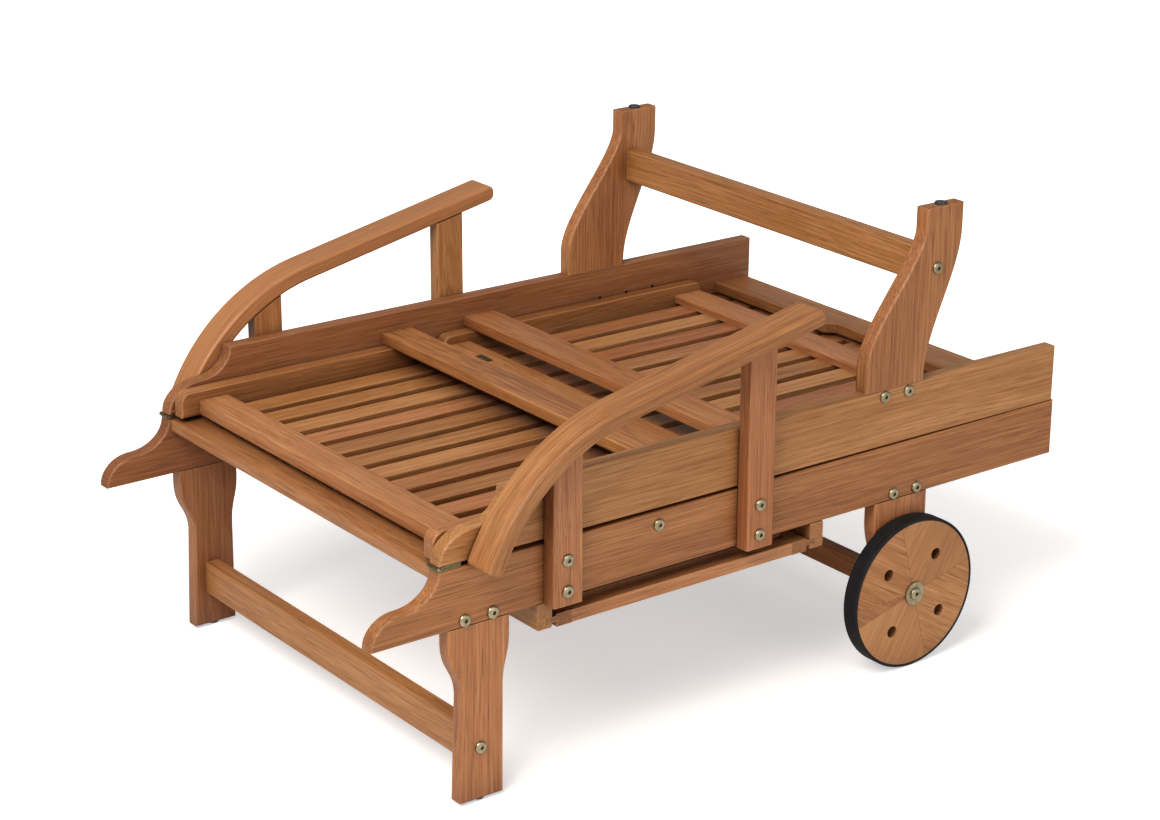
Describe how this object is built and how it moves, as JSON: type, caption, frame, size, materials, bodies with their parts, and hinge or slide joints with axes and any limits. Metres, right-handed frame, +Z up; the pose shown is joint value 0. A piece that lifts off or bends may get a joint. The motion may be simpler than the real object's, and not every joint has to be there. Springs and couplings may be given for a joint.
{
  "type": "folding sun lounger",
  "caption": "Wooden folding sun lounger on two disc wheels, folded in half with its foot legs up; arms, slatted panels, brass bolts and a slide-out tray.",
  "frame": {"origin": "bottom centre of the whole folded object, on the ground between the front legs and the wheels", "axes": "+X along the rails from the hinged leg end to the wheel end, +Y across the frame towards the far arm, +Z up"},
  "size_m": [1.069, 0.732, 0.6056],
  "materials": {
    "frame_wood": "oiled",
    "slat_wood": "oiled",
    "wheel_wood": "oiled",
    "brass": "satin",
    "steel_pins": "brushed",
    "tyre_rubber": "matte",
    "glide_plastic": "matte"
  },
  "bodies": {
    "main_frame": {"main_rail_near": "frame_wood", "main_rail_far": "frame_wood", "front_legs": "frame_wood", "wheel_legs": "frame_wood", "front_stretcher": "frame_wood", "axle_bar": "frame_wood", "seat_bars": "frame_wood", "back_support_bar": "frame_wood", "seat_slats": "slat_wood", "prop_racks": "frame_wood", "arm_near": "frame_wood", "arm_far": "frame_wood", "arm_posts_front": "frame_wood", "arm_posts_rear": "frame_wood", "arm_dowels": "frame_wood", "tray_runners": "frame_wood", "runner_screws": "brass", "leg_bolts": "brass", "barrel_nuts": "brass", "post_bolts": "brass", "back_pivot_bolts": "brass", "axle_bolts": "brass", "axle_washers": "brass", "front_leg_glides": "glide_plastic", "hinge_leaves_main": "brass", "hinge_pins": "brass"},
    "foot_frame": {"foot_rail_near": "frame_wood", "foot_rail_far": "frame_wood", "foot_legs": "frame_wood", "foot_stretcher": "frame_wood", "foot_cross_bars": "frame_wood", "hand_bar": "frame_wood", "foot_leg_bolts": "brass", "foot_barrel_nuts": "brass", "foot_leg_glides": "glide_plastic", "hinge_leaves_foot": "brass", "knee_pivot_pins": "steel_pins"},
    "knee_panel": {"knee_stiles": "frame_wood", "knee_bars": "frame_wood", "knee_slats": "slat_wood", "joint_leaves_knee": "brass", "joint_pins": "brass"},
    "calf_panel": {"calf_stiles": "frame_wood", "calf_joint_bar": "frame_wood", "calf_end_bar": "frame_wood", "calf_slats": "slat_wood", "joint_leaves_calf": "brass"},
    "backrest": {"back_stiles": "frame_wood", "back_bars": "frame_wood", "back_slats": "slat_wood", "prop_pivot_pins": "steel_pins"},
    "prop": {"prop_arms": "frame_wood", "prop_bar": "frame_wood"},
    "wheel_near": {"wheel_disc_near": "wheel_wood", "tyre_near": "tyre_rubber"},
    "wheel_far": {"wheel_disc_far": "wheel_wood", "tyre_far": "tyre_rubber"},
    "tray": {"tray_edges": "frame_wood", "tray_sides": "frame_wood", "tray_slats": "slat_wood"}
  },
  "joints": [
    {"name": "foot_fold", "type": "hinge", "parent": "main_frame", "child": "foot_frame", "pos_m": [-0.4425, 0, 0.305], "axis": [0, -1, 0], "range_deg": [0, 180.34]},
    {"name": "backrest_raise", "type": "hinge", "parent": "main_frame", "child": "backrest", "pos_m": [-0.1285, 0, 0.285], "axis": [0, -1, 0], "range_deg": [0, 57.75]},
    {"name": "prop_swing", "type": "hinge", "parent": "backrest", "child": "prop", "pos_m": [0.1565, 0, 0.276], "axis": [0, -1, 0], "range_deg": [-115.5, 0]},
    {"name": "knee_raise", "type": "hinge", "parent": "foot_frame", "child": "knee_panel", "pos_m": [-0.42041, 0, 0.32087], "axis": [0, 1, 0], "range_deg": [0, 25]},
    {"name": "calf_bend", "type": "hinge", "parent": "knee_panel", "child": "calf_panel", "pos_m": [-0.03036, 0, 0.32749], "axis": [0, -1, 0], "range_deg": [0, 47.75]},
    {"name": "tray_slide", "type": "slide", "parent": "main_frame", "child": "tray", "axis": [0, -1, 0], "range_m": [0, 0.3]},
    {"name": "wheel_near_spin", "type": "hinge", "parent": "main_frame", "child": "wheel_near", "pos_m": [0.2722, -0.3339, 0.1014], "axis": [0, 1, 0], "continuous": true},
    {"name": "wheel_far_spin", "type": "hinge", "parent": "main_frame", "child": "wheel_far", "pos_m": [0.2722, 0.3339, 0.1014], "axis": [0, 1, 0], "continuous": true}
  ],
  "couplings": [
    {"joint": "backrest_raise", "follows": "foot_fold", "ratio": 0.32},
    {"joint": "prop_swing", "follows": "foot_fold", "ratio": -0.64},
    {"joint": "knee_raise", "follows": "foot_fold", "ratio": 0.1385},
    {"joint": "calf_bend", "follows": "foot_fold", "ratio": 0.2645}
  ]
}
